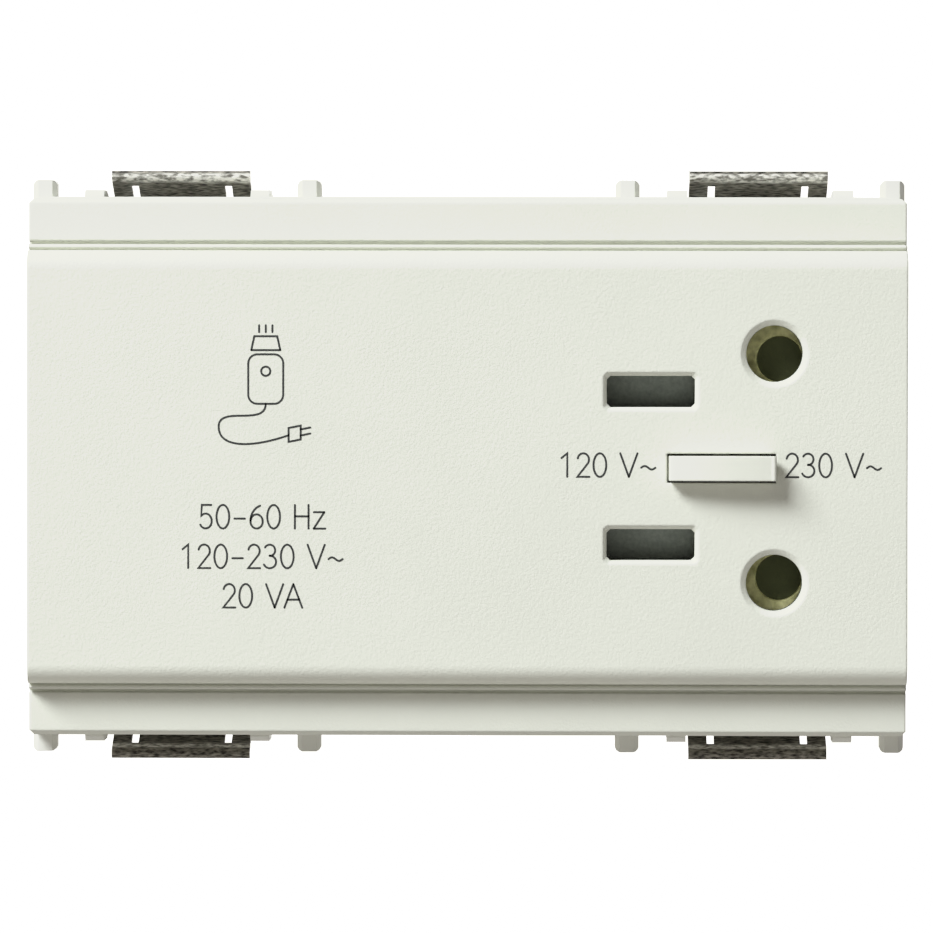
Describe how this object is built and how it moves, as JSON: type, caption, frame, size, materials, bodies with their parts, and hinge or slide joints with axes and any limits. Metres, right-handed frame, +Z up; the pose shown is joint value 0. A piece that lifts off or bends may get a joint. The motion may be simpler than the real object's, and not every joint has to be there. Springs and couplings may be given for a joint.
{
  "type": "shaver socket",
  "caption": "Flush shaver supply unit with round and flat pin entries, a voltage selector and an isolating transformer in a deep snap-in housing.",
  "frame": {"origin": "centre of the rear plane of the housing's rim, which seats on the support frame", "axes": "+X to the right of the face, +Y into the wall, +Z up; the face looks towards -Y"},
  "size_m": [0.073, 0.051, 0.0496],
  "materials": {
    "tinned_steel": "tinned pins",
    "carrier_plastic": "dark grey moulded plastic",
    "lamination_steel": "stacked silicon-steel sheet",
    "contact_brass": "stamped and turned brass",
    "cover_plastic": "warm off-white moulded plastic, satin",
    "cutout_body": "black moulded plastic",
    "winding_wire": "enamelled copper wire",
    "housing_plastic": "warm off-white moulded plastic, matt",
    "spring_steel": "blued spring steel",
    "bobbin_plastic": "glass-filled moulded plastic"
  },
  "bodies": {
    "base": {"bobbin_pins": "tinned_steel", "carrier_back": "carrier_plastic", "contact_carrier": "carrier_plastic", "core_e_stack": "lamination_steel", "core_i_stack": "lamination_steel", "flat_contact_lower": "contact_brass", "flat_contact_upper": "contact_brass", "front_cover": "cover_plastic", "overload_cutout": "cutout_body", "pole_strip_lower": "contact_brass", "pole_strip_upper": "contact_brass", "primary_winding": "winding_wire", "rear_housing": "housing_plastic", "round_contact_lower": "contact_brass", "round_contact_upper": "contact_brass", "secondary_winding": "winding_wire", "selector_common": "contact_brass", "selector_contact_left": "contact_brass", "selector_contact_right": "contact_brass", "spring_clip_lower_left": "spring_steel", "spring_clip_lower_right": "spring_steel", "spring_clip_upper_left": "spring_steel", "spring_clip_upper_right": "spring_steel", "terminal_block_line": "contact_brass", "terminal_block_neutral": "contact_brass", "terminal_screws": "tinned_steel", "winding_bobbin": "bobbin_plastic"},
    "rocker": {"selector_rocker": "cover_plastic", "selector_plunger": "carrier_plastic", "selector_spring": "spring_steel"},
    "bridge": {"selector_bridge": "contact_brass"}
  },
  "joints": [
    {"name": "selector_rock", "type": "hinge", "parent": "base", "child": "rocker", "pos_m": [0.02109, -0.006, 0], "axis": [0, 0, 1], "range_deg": [0, 8]},
    {"name": "bridge_rock", "type": "hinge", "parent": "base", "child": "bridge", "pos_m": [0.02109, -0.00085, 0], "axis": [0, 0, 1], "range_deg": [-18, 0]}
  ],
  "couplings": [
    {"joint": "bridge_rock", "follows": "selector_rock", "ratio": -2.25}
  ]
}
